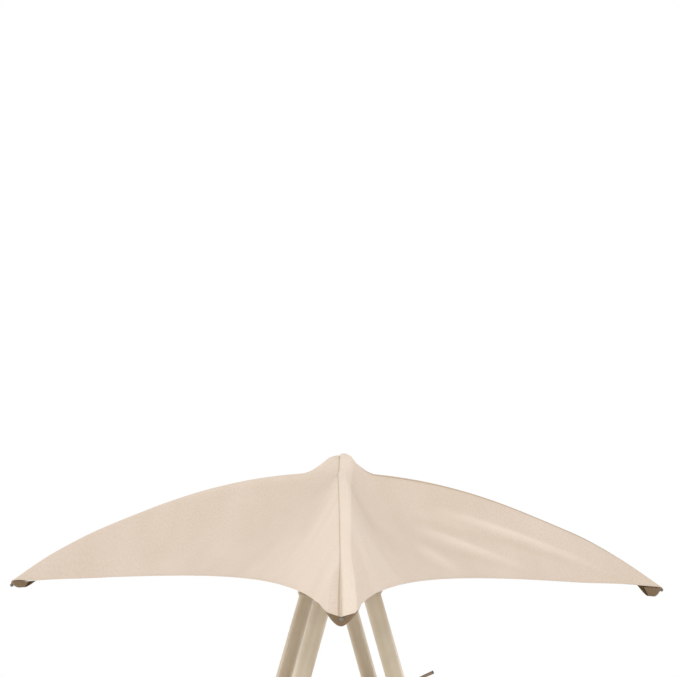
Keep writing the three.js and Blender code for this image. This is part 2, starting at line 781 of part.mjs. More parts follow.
function buildMattress(root, backrest) {
  const slatTop = gap + slatThickness + gap;
  const from = footEnd + cushionFootGap;
  const to = hingePlace - cushionHingeGap;
  const seat = cushion(to - from, seatChannels);
  place(root, "seat_cushion", seat, padding, [(from + to) / 2, 0, seatRailTop + slatTop]);
  const back = cushion(backCushionEnd - cushionHingeGap, backChannels);
  const middle = (backCushionEnd + cushionHingeGap) / 2;
  place(backrest, "back_cushion", back, padding, [middle, 0, backRailHeight / 2 + slatTop]);
}

// Assembly
const lounger = new THREE.Group();
const mast = new THREE.Group();
mast.position.z = pivotHeight;
mast.rotation.x = mastTilt;
lounger.add(mast);
const canopy = new THREE.Group();
canopy.position.z = canopyPlane - pivotHeight;
canopy.rotation.z = canopyTurn;
mast.add(canopy);
const backrest = new THREE.Group();
backrest.position.set(hingePlace, 0, seatRailTop - backRailHeight / 2);
backrest.rotation.y = -backrestRaise;
lounger.add(backrest);

buildStand(lounger);
buildMast(lounger, mast);
buildCanopy(canopy);
buildBase(lounger);
buildBackrest(lounger, backrest);
buildMattress(lounger, backrest);

// The origin is the middle of the footprint
lounger.updateMatrixWorld(true);
const middle = new THREE.Box3().setFromObject(lounger, true).getCenter(new THREE.Vector3());
lounger.position.set(-middle.x, -middle.y, 0);

export default lounger;
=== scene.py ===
import json
import math
import bmesh
import bpy
from mathutils import Matrix, Vector, noise


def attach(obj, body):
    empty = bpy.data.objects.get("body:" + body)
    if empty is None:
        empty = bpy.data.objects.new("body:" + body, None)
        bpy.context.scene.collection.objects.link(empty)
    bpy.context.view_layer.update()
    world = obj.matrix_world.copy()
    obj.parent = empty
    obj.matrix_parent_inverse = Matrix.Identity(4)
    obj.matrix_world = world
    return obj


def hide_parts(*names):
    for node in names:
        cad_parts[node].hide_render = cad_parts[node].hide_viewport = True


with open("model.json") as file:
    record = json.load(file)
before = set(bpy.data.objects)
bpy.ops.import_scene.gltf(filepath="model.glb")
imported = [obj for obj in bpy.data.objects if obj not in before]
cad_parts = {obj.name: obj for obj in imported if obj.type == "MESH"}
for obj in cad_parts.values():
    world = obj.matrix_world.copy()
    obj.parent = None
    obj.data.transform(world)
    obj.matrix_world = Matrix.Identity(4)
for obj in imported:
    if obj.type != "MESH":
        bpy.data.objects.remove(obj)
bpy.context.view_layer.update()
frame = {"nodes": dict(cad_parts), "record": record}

nodes = frame["nodes"]
record = frame["record"]
bodyOfNode = {node: body for body, members in record["behaviour"]["bodies"].items() for node in members}
slotOfNode = {part["node"]: part["material_slot"] for part in record["subparts"]}
jointPlace = {joint["name"]: Vector(joint["pos_m"]) for joint in record["behaviour"]["joints"]}
corners = ["head", "right", "foot", "left"]
mm = 0.001


# Materials

def srgbColor(hexValue):
    channels = [((hexValue >> shift) & 255) / 255 for shift in (16, 8, 0)]
    linear = [c / 12.92 if c <= 0.04045 else ((c + 0.055) / 1.055) ** 2.4 for c in channels]
    return (*linear, 1.0)


def addNode(tree, kind, settings=None, inputs=None, output=0):
    # inputs go by name or by number, and a value that is another node's socket is linked
    node = tree.nodes.new(kind)
    for name, value in (settings or {}).items():
        setattr(node, name, value)
    for name, value in (inputs or {}).items():
        if isinstance(value, bpy.types.NodeSocket):
            tree.links.new(value, node.inputs[name])
        else:
            node.inputs[name].default_value = value
    return node.outputs[output]


def newMaterial(name, **fixed):
    material = bpy.data.materials.new(name)
    material.use_nodes = True
    tree = material.node_tree
    shader = tree.nodes["Principled BSDF"]
    for socket, value in fixed.items():
        shader.inputs[socket.replace("_", " ")].default_value = value
    material.diffuse_color = (0.7, 0.7, 0.7, 1)
    return material, tree, shader


def darker(color, share):
    return tuple(c * share for c in color[:3]) + (1.0,)


coat = {
    "grain": 0.9 * mm,  # orange peel of a baked powder coat
    "grainDepth": 0.06 * mm,
    "bump": 0.25,
    "mottle": 90 * mm,
    "mottleRange": (0.35, 0.65),
    "smoothest": -0.05,  # how far the gloss wanders from the finish's own roughness
    "roughest": 0.07,
}


def powderCoat(name, colors, roughness, grainScale=1.0):
    # satin powder coat on steel: an even body colour, a soft broad gloss and a fine orange peel
    material, tree, shader = newMaterial(name, Metallic=0.0, IOR=1.5, Coat_Weight=0.25, Coat_Roughness=0.3)
    place = addNode(tree, "ShaderNodeTexCoord", output="Object")
    mottle = addNode(tree, "ShaderNodeTexNoise", None, {
        "Vector": place, "Scale": 1 / coat["mottle"], "Detail": 3.0}, "Fac")
    peel = addNode(tree, "ShaderNodeTexNoise", None, {
        "Vector": place, "Scale": 1 / (coat["grain"] * grainScale * 2), "Detail": 2.0}, "Fac")
    patches = addNode(tree, "ShaderNodeMapRange", None, {
        "Value": mottle, "From Min": coat["mottleRange"][0], "From Max": coat["mottleRange"][1]}, "Result")
    low, high = (srgbColor(c) for c in colors)
    tone = addNode(tree, "ShaderNodeMix", {"data_type": "RGBA"}, {0: patches, 6: low, 7: high}, 2)
    gloss = addNode(tree, "ShaderNodeMapRange", None, {
        "Value": mottle, "To Min": roughness + coat["smoothest"], "To Max": roughness + coat["roughest"]}, "Result")
    bump = addNode(tree, "ShaderNodeBump", None, {
        "Strength": coat["bump"], "Height": peel, "Distance": coat["grainDepth"] * grainScale})
    for socket, value in (("Base Color", tone), ("Roughness", gloss), ("Normal", bump)):
        tree.links.new(value, shader.inputs[socket])
    return material


moulding = {
    "grainDepth": 0.05 * mm,
    "bump": 0.3,
    "darkest": 0.86,
}


def mouldedPlastic(name, hexValue, roughness, grain=0.5 * mm):
    # injection-moulded plastic: matt, with a fine spark-eroded grain
    material, tree, shader = newMaterial(name, IOR=1.49, Roughness=roughness)
    place = addNode(tree, "ShaderNodeTexCoord", output="Object")
    speck = addNode(tree, "ShaderNodeTexNoise", None, {
        "Vector": place, "Scale": 1 / (2 * grain), "Detail": 2.0}, "Fac")
    full = srgbColor(hexValue)
    tone = addNode(tree, "ShaderNodeMix", {"data_type": "RGBA"}, {
        0: speck, 6: darker(full, moulding["darkest"]), 7: full}, 2)
    bump = addNode(tree, "ShaderNodeBump", None, {
        "Strength": moulding["bump"], "Height": speck, "Distance": moulding["grainDepth"]})
    tree.links.new(tone, shader.inputs["Base Color"])
    tree.links.new(bump, shader.inputs["Normal"])
    return material


drawn = {
    "scratch": 10 / 9 * mm,
    "darkest": 0.8,
}


def brushedMetal(name, hexValue, roughness):
    # drawn metal: even, with a fine clouding from the die's scratches
    material, tree, shader = newMaterial(name, Metallic=1.0, Roughness=roughness)
    place = addNode(tree, "ShaderNodeTexCoord", output="Object")
    scratch = addNode(tree, "ShaderNodeTexNoise", None, {
        "Vector": place, "Scale": 1 / drawn["scratch"], "Detail": 4.0}, "Fac")
    full = srgbColor(hexValue)
    tone = addNode(tree, "ShaderNodeMix", {"data_type": "RGBA"}, {
        0: scratch, 6: darker(full, drawn["darkest"]), 7: full}, 2)
    tree.links.new(tone, shader.inputs["Base Color"])
    return material


cloth = {
    "thread": 1.1 * mm,  # drawn coarser than the real half-millimetre yarn, so that it shows
    "slub": 5 * mm,
    "patch": 160 * mm,
    "noiseRange": (0.3, 0.7),
    "weaveDepth": 0.25 * mm,
    "bump": 0.25,
    "pale": 0xDFD1C4,
    "deep": 0xD4C5B6,
    "patchTones": (0xFAF8F6, 0xFFFFFF),
    "yarnTones": (0xEDEAE6, 0xFFFFFF),
    # a painted highlight, for the sleeve bands and the fold crests
    "sleevePale": 0xE8DACA,
    "sleeveShow": 0.4,  # how strongly the painted highlight on the sleeve band shows, and so on for the others
    "crestShow": 0.5,
    # painted shade in the fold valleys
    "foldShade": 0xC6B5A2,
    "valleyShow": 0.4,
    "valleyFull": -0.4,
    # thread colour of the stitches, also used for the painted shadow of the crease beside each seam
    "seamTone": 0xBFA98E,
    "creaseWidth": 7 * mm,
    "creaseShow": 0.3,
    "seamShadow": 0x8F7B63,
    "seamPlace": 2.5 * mm,
    "seamWidth": 1.8 * mm,
    "seamCore": 0.3,
    "seamShow": 0.5,
    "hemWidth": 13 * mm,
    "hemRise": 0.9 * mm,
    "hemEase": 1 * mm,
    "stitchInset": 10 * mm,
    "stitchLength": 4 * mm,
    "stitchPart": 0.7,
    "stitchHalf": 0.6 * mm,
    "stitchShow": 0.5,
    "stitchRise": 2.0,
}


# lays over the cloth's tone a painted highlight on the sleeves and the fold crests, painted shade in the fold
# valleys and beside and along the seams, and the hem's stitches
def addSewing(tree, tone):
    # lays the sleeves, the folds, the seams and the hem's stitches over the cloth's tone
    beside = addNode(tree, "ShaderNodeUVMap", {"uv_map": "seamMap"}, output="UV")
    sides = addNode(tree, "ShaderNodeSeparateXYZ", None, {"Vector": beside}).node.outputs
    away = {}
    for place, axis in enumerate("XY"):
        moved = addNode(tree, "ShaderNodeMath", {"operation": "ADD"}, {0: sides[axis], 1: cloth["seamPlace"]})
        away[place] = addNode(tree, "ShaderNodeMath", {"operation": "ABSOLUTE"}, {0: moved})
    fromSeam = addNode(tree, "ShaderNodeMath", {"operation": "MINIMUM"}, away)
    sleeve, fold, edge, along = (addNode(tree, "ShaderNodeAttribute", {"attribute_name": layer}, output="Fac")
                                 for layer in ("sleeve", "fold", "edgeDistance", "alongEdge"))
    foldCrestHighlight, foldValleyShade, crease, seamLine = (
        addNode(tree, "ShaderNodeMapRange", None, {"Value": value, "From Min": none, "From Max": full}, "Result")
        for value, none, full in (
            (fold, 0.0, 1.0),
            (fold, 0.0, cloth["valleyFull"]),
            (fromSeam, cloth["creaseWidth"], 0.0),
            (fromSeam, cloth["seamWidth"], cloth["seamCore"] * cloth["seamWidth"]),
        ))
    inset = addNode(tree, "ShaderNodeMath", {"operation": "SUBTRACT"}, {0: edge, 1: cloth["stitchInset"]})
    fromLine = addNode(tree, "ShaderNodeMath", {"operation": "ABSOLUTE"}, {0: inset})
    onLine = addNode(tree, "ShaderNodeMath", {"operation": "LESS_THAN"}, {0: fromLine, 1: cloth["stitchHalf"]})
    swing = addNode(tree, "ShaderNodeMath", {"operation": "PINGPONG"}, {0: along, 1: cloth["stitchLength"]})
    dash = addNode(tree, "ShaderNodeMath", {"operation": "LESS_THAN"}, {
        0: swing, 1: cloth["stitchLength"] * cloth["stitchPart"]})
    stitch = addNode(tree, "ShaderNodeMath", {"operation": "MULTIPLY"}, {0: onLine, 1: dash})
    for mask, share, color in (
        # painted highlight on the sleeve bands
        (sleeve, cloth["sleeveShow"], cloth["sleevePale"]),
        # painted highlight on the fold crests
        (foldCrestHighlight, cloth["crestShow"], cloth["sleevePale"]),
        # painted shade in the fold valleys
        (foldValleyShade, cloth["valleyShow"], cloth["foldShade"]),
        # painted shadow of the crease beside each seam
        (crease, cloth["creaseShow"], cloth["seamTone"]),
        (seamLine, cloth["seamShow"], cloth["seamShadow"]),
        (stitch, cloth["stitchShow"], cloth["seamTone"]),
    ):
        factor = addNode(tree, "ShaderNodeMath", {"operation": "MULTIPLY"}, {0: mask, 1: share})
        tone = addNode(tree, "ShaderNodeMix", {"data_type": "RGBA"}, {0: factor, 6: tone, 7: srgbColor(color)}, 2)
    return tone, stitch


def wovenPolyester(name, pale, deep, thread, withSeams):
    # plain-woven polyester: a matt crossing of warp and weft, with paler and darker slubs in the yarn
    material, tree, shader = newMaterial(name, IOR=1.46, Roughness=0.95, Specular_IOR_Level=0.2, Sheen_Weight=0.05,
                                         Sheen_Roughness=0.5)
    spread = addNode(tree, "ShaderNodeUVMap", {"uv_map": "clothMap"}, output="UV")
    split = addNode(tree, "ShaderNodeSeparateXYZ", None, {"Vector": spread}).node.outputs
    yarns = {}
    for place, axis in enumerate("XY"):
        angle = addNode(tree, "ShaderNodeMath", {"operation": "MULTIPLY"}, {
            0: split[axis], 1: 2 * math.pi / (2 * thread)})
        yarns[place] = addNode(tree, "ShaderNodeMath", {"operation": "SINE"}, {0: angle})
    crossing = addNode(tree, "ShaderNodeMath", {"operation": "MULTIPLY"}, yarns)
    weave = addNode(tree, "ShaderNodeMath", {"operation": "MULTIPLY_ADD"}, {0: crossing, 1: 0.5, 2: 0.5})
    low, high = cloth["noiseRange"]
    masks = []
    for size, detail in ((cloth["slub"], 3.0), (cloth["patch"], 2.0)):
        clouds = addNode(tree, "ShaderNodeTexNoise", None, {
            "Vector": spread, "Scale": 1 / size, "Detail": detail}, "Fac")
        masks.append(addNode(tree, "ShaderNodeMapRange", None, {
            "Value": clouds, "From Min": low, "From Max": high}, "Result"))
    slubby, patchy = masks
    tone = addNode(tree, "ShaderNodeMix", {"data_type": "RGBA"}, {
        0: slubby, 6: srgbColor(deep), 7: srgbColor(pale)}, 2)
    for mask, tones in ((patchy, cloth["patchTones"]), (weave, cloth["yarnTones"])):
        veil = addNode(tree, "ShaderNodeMix", {"data_type": "RGBA"}, {
            0: mask, 6: srgbColor(tones[0]), 7: srgbColor(tones[1])}, 2)
        tone = addNode(tree, "ShaderNodeMix", {"data_type": "RGBA", "blend_type": "MULTIPLY"}, {
            0: 1.0, 6: tone, 7: veil}, 2)
    height = weave
    if withSeams:
        tone, stitch = addSewing(tree, tone)
        height = addNode(tree, "ShaderNodeMath", {"operation": "MULTIPLY_ADD"}, {
            0: stitch, 1: cloth["stitchRise"], 2: weave})
    bump = addNode(tree, "ShaderNodeBump", None, {
        "Strength": cloth["bump"], "Height": height, "Distance": cloth["weaveDepth"]})
    tree.links.new(tone, shader.inputs["Base Color"])
    tree.links.new(bump, shader.inputs["Normal"])
    return material


finishes = {
    "sand_tube": powderCoat("sandPowderCoat", (0xBCAE97, 0xC3B59E), 0.34),
    "sand_cast": powderCoat("sandPowderCoatOnCasting", (0xB6A790, 0xBEAF98), 0.45, 2.2),
    "brown_tube": powderCoat("brownPowderCoat", (0x8A7362, 0x937B69), 0.4),
    "brown_slat": powderCoat("brownPowderCoatOnSlat", (0x8C7563, 0x957D6B), 0.46),
    "rib_metal": brushedMetal("drawnAluminium", 0xB9BABA, 0.34),
    "pin_steel": brushedMetal("zincPlatedSteel", 0xB4B3AE, 0.3),
    "canopy_fabric": wovenPolyester("canopyPolyester", cloth["pale"], cloth["deep"], cloth["thread"], True),
    "cushion_fabric": wovenPolyester("cushionPolyester", 0xE6DAC6, 0xD9CAB2, 1.6 * mm, False),
    "grey_plastic": mouldedPlastic("greyMouldedPlastic", 0x757573, 0.55),
    "black_plastic": mouldedPlastic("blackMouldedPlastic", 0x3A3A3A, 0.5),
    "black_rubber": mouldedPlastic("blackRubber", 0x2E2E2E, 0.75, 0.8 * mm),
}
# the corner cups' darker cloth, darkened further as painted shade of the corner's underside
pocketClothAndShade = wovenPolyester("cornerCupPolyester", 0x8A755E, 0x78644D, cloth["thread"], False)
pipingCloth = wovenPolyester("pipingPolyester", 0xCDBB9E, 0xBFAC8D, 1.2 * mm, False)

for node, obj in nodes.items():
    obj.data.materials.clear()
    obj.data.materials.append(finishes[slotOfNode[node]])
print("materials are made")


# Making and placing pieces

def addPiece(name, mesh, body, slotName, replaced=(), sharpAngle=35):
    obj = bpy.data.objects.new(name, mesh)
    bpy.context.scene.collection.objects.link(obj)
    mesh.materials.append(finishes[slotName])
    mesh.shade_smooth()
    mesh.set_sharp_from_angle(angle=math.radians(sharpAngle))
    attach(obj, body)
    if replaced:
        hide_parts(*replaced)
    return obj


def meshFrom(bm, name):
    mesh = bpy.data.meshes.new(name)
    bm.to_mesh(mesh)
    bm.free()
    return mesh


def giveWall(piece, thickness):
    wall = piece.modifiers.new("thickness", "SOLIDIFY")
    wall.thickness = thickness
    wall.offset = -1


weld = {
    "cloth": 0.02 * mm,
    "clothEdge": 0.005 * mm,
    "solid": 0.01 * mm,
}


# Places: the mast stands on its pin, the canopy hangs on the mast, and the backrest turns on its hinge

restPose = {
    "mastLean": 4.6,
    "canopyDrop": -50 * mm,
    "canopyTurn": -6,
    "backrestRise": -26,
}


def turned(angle, axis):
    return Matrix.Rotation(math.radians(angle), 4, axis)


def armPlace(arm):
    return canopyPlace @ Matrix.Rotation(arm * math.pi / 2, 4, "Z")


standPlace = Matrix.Translation((0, jointPlace["mast_tilt"].y, 0))
seatPlace = Matrix.Translation((0, jointPlace["backrest_recline"].y, 0))
hingePlace = Matrix.Translation(jointPlace["backrest_recline"]) @ turned(restPose["backrestRise"], "Y")
mastPlace = Matrix.Translation(jointPlace["mast_tilt"]) @ turned(restPose["mastLean"], "X")
canopyPlace = mastPlace @ Matrix.Translation((0, 0, restPose["canopyDrop"])) @ turned(restPose["canopyTurn"], "Z")


# Canopy cloth: one sheet of four sewn panels, each a grid pulled from rib to rib

canopy = {
    "reach": 1403 * mm,
    "rise": 486 * mm,
    "edgeBow": 384 * mm,
    "edgeRise": 54 * mm,
    "edgePower": 1.3,
    "pullPower": 1.5,  # how late the pull of the bowed edge sets in, from the hub outwards
    "valleyPower": 1.2,
    "bellyPower": (0.9, 1.3),  # the panel's section at the hub and at the edge
    "capRadius": 52 * mm,
    "capCrown": 14 * mm,
    "peakRise": 75 * mm,
    "peakReach": 150 * mm,
    "peakPower": 1.4,
    "rows": 76,
    "rowEven": 0.25,  # the rest of the rows crowd to the hem
    "columns": 92,
    "columnEven": 0.2,  # the rest of the columns crowd to the ribs
    "thickness": 1.6 * mm,
    "ripple": 0.3 * mm,
    "rippleRate": 9,
    "ripplePlace": (0.1, 0.4),
    "edgeLength": 1.6,
    "lean": 10 * mm,  # the peak is pulled a little to the head side
    "leanReach": 330 * mm,
    "overReach": (18 * mm, 7 * mm, 7 * mm, 7 * mm),
    "bulge": (16 * mm, 13 * mm, 13 * mm, 0),  # where each rib bends down more sharply, near its end
    "bulgePlace": 1140 * mm,
    "bulgeLength": 175 * mm,
    "bulgeFlat": 10 * mm,
    "bulgeWidth": 120 * mm,
}
crest = {  # the rib's sleeve, folded to one side of the rib: a flat top that rounds over into the panel
    "side": (1, -1, 1, 1),
    "bump": (0, 9 * mm, 0, 9 * mm),
    "width": (40 * mm, 40 * mm, 40 * mm, 54 * mm),
    "widthAtTip": (9 * mm, 9 * mm, 9 * mm, 22 * mm),
    "taperPower": 1.5,
    "paler": (0.3, 0.3, 0.3, 1),  # how strongly the painted highlight on the sleeve band shows on each rib
    "round": 8 * mm,
    "spread": 60 * mm,
    "spreadShare": 0.3,
    "thickness": 1.2 * mm,
    "edge": 4 * mm,
    "seam": 2.5 * mm,
    "bumpFrom": 90 * mm,
    "bumpTo": 330 * mm,
    "hemFade": (-20 * mm, 120 * mm),
    "cornerShare": 0.06,
}
corner = {  # each corner is cut blunt, where its pocket holds it open
    "half": 46 * mm,
    "cut": 0.0135,
    "cutPower": 1.6,
    "blend": 0.1,
    "back": 19 * mm,
    "lift": ((4 * mm, 4 * mm), (4 * mm, 4 * mm), (4 * mm, 4 * mm), (-4 * mm, 11 * mm)),  # on either panel
    "from": 0.8,
    "droop": (2 * mm, 4 * mm, 6 * mm, 11 * mm),
    "droopReach": 170 * mm,
}
edgeMiddle = canopy["reach"] / math.sqrt(2) - canopy["edgeBow"]


def clamp01(value):
    return min(1.0, max(0.0, value))


def easeBetween(value, low, high):
    share = clamp01((value - low) / (high - low))
    return share * share * (3 - 2 * share)


def between(low, high, share):
    return low + (high - low) * share


def peakHeight(radius):
    away = clamp01((radius - canopy["capRadius"]) / (canopy["peakReach"] - canopy["capRadius"]))
    dome = 1 - canopy["capCrown"] / canopy["peakRise"] * min(radius / canopy["capRadius"], 1) ** 2
    return canopy["peakRise"] * dome * (1 - away) ** canopy["peakPower"]


def ridgeHeight(along):
    return canopy["rise"] * (1 - (along / canopy["reach"]) ** 2) + peakHeight(along)


def panelPoint(out, across):
    # out runs from the hub to the free edge, across from one rib to the next
    radius = out * canopy["reach"]
    belly = 4 * across * (1 - across)
    pull = canopy["edgeBow"] * out ** canopy["pullPower"]
    bow = pull * belly ** canopy["edgePower"] / math.sqrt(2)
    x = radius * (1 - across) - bow
    y = radius * across - bow
    ridge = canopy["rise"] * (1 - out ** 2)
    away = clamp01((radius / math.sqrt(2) - pull - canopy["capRadius"]) / (edgeMiddle - canopy["capRadius"]))
    valley = between(canopy["edgeRise"], canopy["rise"], (1 - away) ** canopy["valleyPower"])
    drop = (ridge - valley) * belly ** between(*canopy["bellyPower"], out)
    return Vector((x, y, ridge - drop + peakHeight(math.hypot(x, y))))


def ribBulge(arm, along, aside=0.0):
    rise = math.exp(-((along - canopy["bulgePlace"]) / canopy["bulgeLength"]) ** 2)
    return canopy["bulge"][arm] * rise * (1 - easeBetween(abs(aside), canopy["bulgeFlat"], canopy["bulgeWidth"]))


def softPositive(value, rounding):
    return (value + math.sqrt(value * value + rounding * rounding)) / 2


def sleeveWidth(arm, along):
    share = clamp01(along / canopy["reach"]) ** crest["taperPower"]
    return between(crest["width"][arm], crest["widthAtTip"][arm], share)


def sleeveBand(arm, along, aside, edge):
    # one on the sleeve's double cloth, none beside it
    if along <= 0:
        return 0.0
    width = sleeveWidth(arm, along)
    return easeBetween(aside, -crest["seam"], edge) * (1 - easeBetween(aside, width - edge, width + 2 * edge))


def sleeveLift(arm, along, aside, fall):
    # aside is measured across the rib, fall is how far the bare panel lies below the ridge there
    if along <= 0:
        return 0.0
    width = sleeveWidth(arm, along)
    shape = crest["thickness"] + crest["bump"][arm] * (1 - easeBetween(along, crest["bumpFrom"], crest["bumpTo"]))
    lift = shape * sleeveBand(arm, along, aside, crest["edge"])
    if aside > 0:
        spread = crest["spread"] + crest["spreadShare"] * along
        fade = clamp01(1 - aside / spread) ** 2
        start = softPositive(-width, crest["round"]) * fade
        eased = softPositive(aside - width * fade, crest["round"]) - start
        lift += max(0.0, fall) * clamp01(1 - eased / aside)
    return lift


def sleeveFade(share, fromEdge):
    # the sleeve's lift dies away at the hem, but not at the corner
    return between(1.0, easeBetween(fromEdge, *crest["hemFade"]), easeBetween(share, 0, crest["cornerShare"]))


def cornerMove(arm, share, out, other=0):
    # how a pocket holds the corner's hem open: moves along the rib, away from it and upwards
    reach = canopy["reach"]
    tip = reach + canopy["overReach"][arm]
    droop = corner["droop"][arm] * easeBetween(out * reach, reach - corner["droopReach"], reach)
    droop *= 1 - easeBetween(share, 0.0, 2 * corner["blend"])
    if share >= corner["blend"]:
        return 0.0, 0.0, -droop
    old = panelPoint(1.0, share)
    if share < corner["cut"]:
        part = share / corner["cut"]
        along = tip - corner["back"] * part ** corner["cutPower"]
        aside = corner["half"] * part
        lift = corner["lift"][arm][other] * part
    else:
        part = (share - corner["cut"]) / (corner["blend"] - corner["cut"])
        far = panelPoint(1.0, corner["blend"])
        along = between(tip - corner["back"], far.x, part)
        aside = between(corner["half"], far.y, part)
        lift = corner["lift"][arm][other] * (1 - part)
    fade = easeBetween(out, corner["from"], 1.0)
    return (along - old.x) * fade, (aside - old.y) * fade, lift * fade - droop


wrinkles = [  # panel, share across at the hub end and at the edge end, start, stop, height and width in millimetres
    (3, 0.815, 0.92, 0.36, 0.96, 10, 17), (3, 0.655, 0.765, 0.42, 0.92, 9, 17), (3, 0.56, 0.575, 0.55, 0.92, 6, 15),
    (3, 0.74, 0.83, 0.34, 0.7, 4.5, 16),
    (0, 0.22, 0.15, 0.40, 0.97, 4.0, 20), (0, 0.70, 0.80, 0.42, 0.95, 3.4, 22),
    (1, 0.24, 0.16, 0.44, 0.96, 3.4, 20), (1, 0.76, 0.84, 0.40, 0.96, 4.2, 20),
]
wrinkleShape = {  # each crest has a shallower trough on one side of it
    "narrowing": 1.1,
    "trough": 0.45,
    "troughPlace": 1.9,
    "troughWidth": 1.3,
    "endPower": 1.2,
    # the fold height at which the painted highlight and painted shade are full
    "fullTone": 10 * mm,
}


def wrinkleLift(panel, out, across, radius):
    lift = 0.0
    for which, start, stop, first, last, height, width in wrinkles:
        if which != panel:
            continue
        share = clamp01((out - first) / (last - first))
        offset = (across - between(start, stop, share)) * radius * wrinkleShape["narrowing"] / (width * mm)
        fromTrough = (offset + wrinkleShape["troughPlace"]) / wrinkleShape["troughWidth"]
        crease = math.exp(-offset * offset) - wrinkleShape["trough"] * math.exp(-fromTrough ** 2)
        lift += height * mm * crease * math.sin(math.pi * share) ** wrinkleShape["endPower"]
    return lift


def spreadEvenly(rowShare, columnShare):
    # where a grid point lies on its panel: the rows are closer at the hem and the columns at the ribs
    evenRow, evenColumn = canopy["rowEven"], canopy["columnEven"]
    out = evenRow * rowShare + (1 - evenRow) * rowShare * (2 - rowShare)
    across = evenColumn * columnShare + (1 - evenColumn) * (1 - math.cos(math.pi * columnShare)) / 2
    return out, across


def buildCanopyCloth():
    whole = bmesh.new()
    clothMap, seamMap = (whole.loops.layers.uv.new(name) for name in ("clothMap", "seamMap"))
    edgeLayer, alongLayer, sleeveHighlightLayer, foldShadingLayer = (whole.verts.layers.float.new(name)
                                                     for name in ("edgeDistance", "alongEdge", "sleeve", "fold"))
    for panel in range(4):
        other = (panel + 1) % 4
        turn = Matrix.Rotation(panel * math.pi / 2, 4, "Z")
        grid = bmesh.ops.create_grid(whole, x_segments=canopy["rows"], y_segments=canopy["columns"], size=0.5)
        flat, beside = {}, {}
        for vert in grid["verts"]:
            out, across = spreadEvenly(vert.co.x + 0.5, vert.co.y + 0.5)
            point = panelPoint(out, across)
            x, y, z = point
            radius = math.hypot(x, y)
            fromEdge = (panelPoint(1.0, across) - point).length
            flat[vert] = (x + 3 * panel, y)
            beside[vert] = (y * crest["side"][panel], -x * crest["side"][other])
            places = ((panel, x, beside[vert][0]), (other, y, beside[vert][1]))
            vert[edgeLayer] = fromEdge
            vert[alongLayer] = across * canopy["edgeLength"]
            # the sleeve layer carries the painted highlight of the sleeve band
            vert[sleeveHighlightLayer] = max(crest["paler"][arm] * sleeveBand(arm, along, aside, crest["edge"] / 2)
                                    for arm, along, aside in places)
            sleeves = max(sleeveLift(arm, along, aside, ridgeHeight(along) - z) for arm, along, aside in places)
            sleeves *= sleeveFade(min(across, 1 - across), fromEdge)
            hem = easeBetween(cloth["hemWidth"] - fromEdge, -cloth["hemEase"], cloth["hemEase"]) * cloth["hemRise"]
            folds = wrinkleLift(panel, out, across, radius)
            # the fold layer sets the painted highlight on crests and the painted shade in valleys
            vert[foldShadingLayer] = folds / wrinkleShape["fullTone"]
            ripple = noise.noise(Vector((x * canopy["rippleRate"], y * canopy["rippleRate"], panel)))
            lift = sleeves + hem + folds + ribBulge(panel, x, y) + ribBulge(other, y, x)
            lift += canopy["ripple"] * ripple * easeBetween(radius, *canopy["ripplePlace"])
            along, aside, up = cornerMove(panel, across, out)
            alongOther, asideOther, upOther = cornerMove(other, 1 - across, out, 1)
            vert.co = turn @ Vector((x + along + asideOther, y + aside + alongOther, z + lift + up + upOther))
            vert.co.x += canopy["lean"] * (1 - easeBetween(radius, 0.0, canopy["leanReach"]))
        for vert in grid["verts"]:
            for loop in vert.link_loops:
                loop[clothMap].uv = flat[vert]
                loop[seamMap].uv = beside[vert]
    bmesh.ops.remove_doubles(whole, verts=whole.verts, dist=weld["cloth"])
    bmesh.ops.dissolve_degenerate(whole, dist=weld["clothEdge"], edges=whole.edges)
    bmesh.ops.transform(whole, matrix=canopyPlace, verts=whole.verts)
    bmesh.ops.recalc_face_normals(whole, faces=whole.faces)
    area = sum(face.calc_area() for face in whole.faces)
    piece = addPiece("canopySheet", meshFrom(whole, "canopySheet"), "canopy", "canopy_fabric",
                     [f"canopy_panel_{a}_{b}" for a, b in zip(corners, corners[1:] + corners[:1])], 80)
    giveWall(piece, canopy["thickness"])
    print("canopy cloth is made, square metres:", round(area, 3))
    return piece


canopySheet = buildCanopyCloth()


# Legs: round tubes that lean in pairs

leg = {
    "radius": 36 * mm,
    "slope": 0.287,
    "meeting": 1518 * mm,
    "spacing": 400 * mm,
    "bottom": 6.3 * mm,
    "top": 1207 * mm,  # the tube goes on a little way inside the crown
    "sides": 72,
}


def buildLeg(name, across, side):
    bm = bmesh.new()
    height = leg["top"] - leg["bottom"]
    bmesh.ops.create_cone(bm, cap_ends=True, segments=leg["sides"], radius1=leg["radius"], radius2=leg["radius"],
                          depth=height)
    stretch = math.hypot(1, leg["slope"])
    bmesh.ops.scale(bm, vec=(stretch, 1, 1), verts=bm.verts)
    bmesh.ops.translate(bm, vec=(0, 0, leg["bottom"] + height / 2), verts=bm.verts)
    for vert in bm.verts:
        vert.co.x += side * leg["slope"] * (leg["meeting"] - vert.co.z)
    bmesh.ops.translate(bm, vec=(0, across * leg["spacing"], 0), verts=bm.verts)
    bmesh.ops.transform(bm, matrix=standPlace, verts=bm.verts)
    addPiece(f"legTube_{name}", meshFrom(bm, name), "stand", "sand_tube", [f"leg_{name}"])


longSides = (("left", -1), ("right", 1))
for sideName, across in longSides:
    for endName, side in (("foot", -1), ("head", 1)):
        buildLeg(f"{sideName}_{endName}", across, side)
print("legs are made")


# Outlines pulled through a row of places, and turned round pieces

def placeAt(point, heading, side):
    # local Z looks along the heading and local X along the side
    heading, side = Vector(heading).normalized(), Vector(side).normalized()
    return Matrix.Translation(point) @ Matrix((side, heading.cross(side), heading)).transposed().to_4x4()


